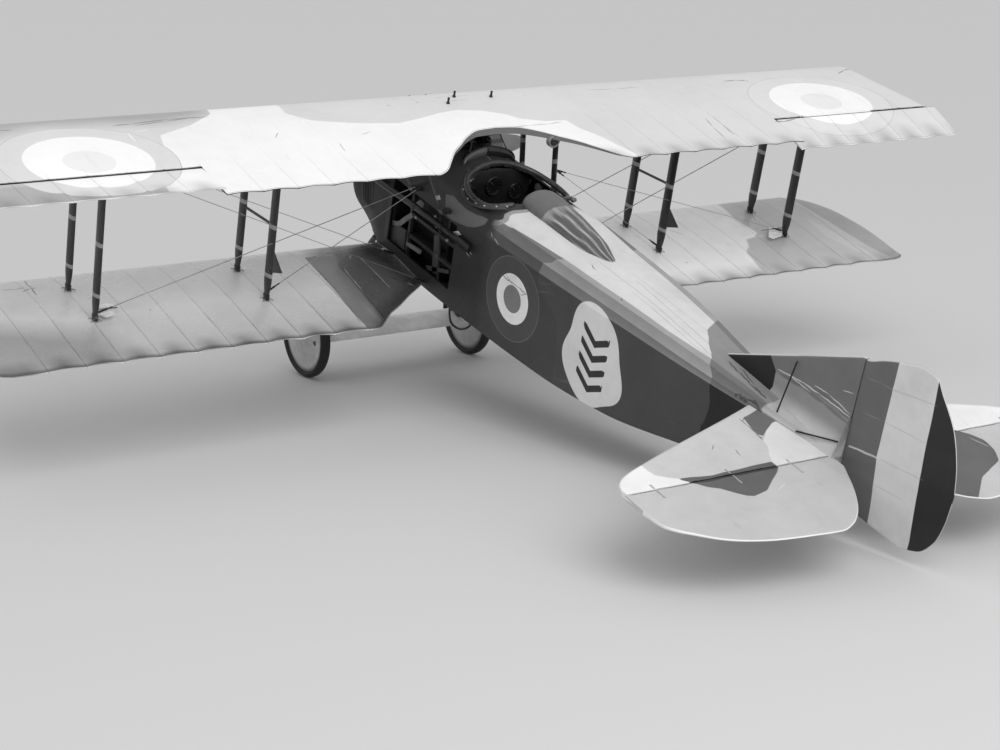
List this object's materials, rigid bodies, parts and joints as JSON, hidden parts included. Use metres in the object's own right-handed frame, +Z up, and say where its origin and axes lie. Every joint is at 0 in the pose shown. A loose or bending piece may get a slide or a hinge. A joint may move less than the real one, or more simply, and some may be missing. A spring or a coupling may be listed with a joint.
{
  "type": "quarter-scale flying model biplane",
  "caption": "Single-seat model biplane fighter parked on its wheels and tail skid, with strutted wings, an open cockpit, one side panel off, and a turning propeller, wheels and controls.",
  "frame": {"origin": "on the ground under the middle of the parked aircraft's box", "axes": "nose towards -Y, port wing to +X, +Z up, parked nose-up on both tyres and the tail skid"},
  "size_m": [2.072, 1.64, 0.5607],
  "materials": {
    "dark_paint": "satin paint over plywood",
    "leather": "padded roll",
    "skin": "doped fabric over ribs",
    "black_paint": "matt",
    "gunmetal": "satin",
    "alloy": "brushed",
    "plywood": "bare plywood",
    "white_paint": "gloss paint",
    "ash": "varnished",
    "varnish": "varnished laminate",
    "strut_wood": "dark paint with light bindings",
    "cover": "doped fabric",
    "rubber": "matt"
  },
  "bodies": {
    "airframe": {"axle": "white_paint", "bay_frame": "plywood", "cabane_front_port": "strut_wood", "cabane_front_starboard": "strut_wood", "cabane_rear_port": "strut_wood", "cabane_rear_starboard": "strut_wood", "coaming": "leather", "exhaust_port": "gunmetal", "exhaust_starboard": "gunmetal", "fin": "skin", "fuselage_mid": "dark_paint", "fuselage_rear": "dark_paint", "gear_leg_port": "strut_wood", "gear_leg_starboard": "strut_wood", "guns": "gunmetal", "headrest": "skin", "instrument_panel": "plywood", "nose_cowl": "dark_paint", "radiator": "alloy", "seat": "plywood", "step_port": "alloy", "strut_brace_port": "strut_wood", "strut_brace_starboard": "strut_wood", "strut_inner_front_port": "strut_wood", "strut_inner_front_starboard": "strut_wood", "strut_inner_rear_port": "strut_wood", "strut_inner_rear_starboard": "strut_wood", "strut_outer_front_port": "strut_wood", "strut_outer_front_starboard": "strut_wood", "strut_outer_rear_port": "strut_wood", "strut_outer_rear_starboard": "strut_wood", "tail_skid": "ash", "tailplane_port": "skin", "tailplane_starboard": "skin", "windscreen": "black_paint", "wing_lower_port": "skin", "wing_lower_starboard": "skin", "wing_upper": "skin"},
    "propeller": {"propeller": "varnish"},
    "wheel_port": {"wheel_port": "cover", "tyre_port": "rubber"},
    "wheel_starboard": {"wheel_starboard": "cover", "tyre_starboard": "rubber"},
    "aileron_port": {"aileron_port": "skin"},
    "aileron_starboard": {"aileron_starboard": "skin"},
    "elevator": {"elevator_port": "skin", "elevator_starboard": "skin"},
    "rudder": {"rudder": "skin"}
  },
  "joints": [
    {"name": "propeller_spin", "type": "hinge", "parent": "airframe", "child": "propeller", "pos_m": [0, -0.73062, 0.40716], "axis": [0, 0.966, -0.2587], "continuous": true},
    {"name": "wheel_port_spin", "type": "hinge", "parent": "airframe", "child": "wheel_port", "pos_m": [0.187, -0.73799, 0.082], "axis": [1, 0, 0], "continuous": true},
    {"name": "wheel_starboard_spin", "type": "hinge", "parent": "airframe", "child": "wheel_starboard", "pos_m": [-0.187, -0.73799, 0.082], "axis": [1, 0, 0], "continuous": true},
    {"name": "aileron_port_hinge", "type": "hinge", "parent": "airframe", "child": "aileron_port", "pos_m": [0.82, -0.30454, 0.4944], "axis": [1, 0, 0], "range_deg": [-27, 13]},
    {"name": "aileron_starboard_hinge", "type": "hinge", "parent": "airframe", "child": "aileron_starboard", "pos_m": [-0.82, -0.30454, 0.4944], "axis": [1, 0, 0], "range_deg": [-8, 32]},
    {"name": "elevator_hinge", "type": "hinge", "parent": "airframe", "child": "elevator", "pos_m": [0, 0.58065, 0.12738], "axis": [1, 0, 0], "range_deg": [-20, 20]},
    {"name": "rudder_hinge", "type": "hinge", "parent": "airframe", "child": "rudder", "pos_m": [0, 0.60486, 0.18301], "axis": [0, 0.2587, 0.966], "range_deg": [-25, 25]}
  ]
}
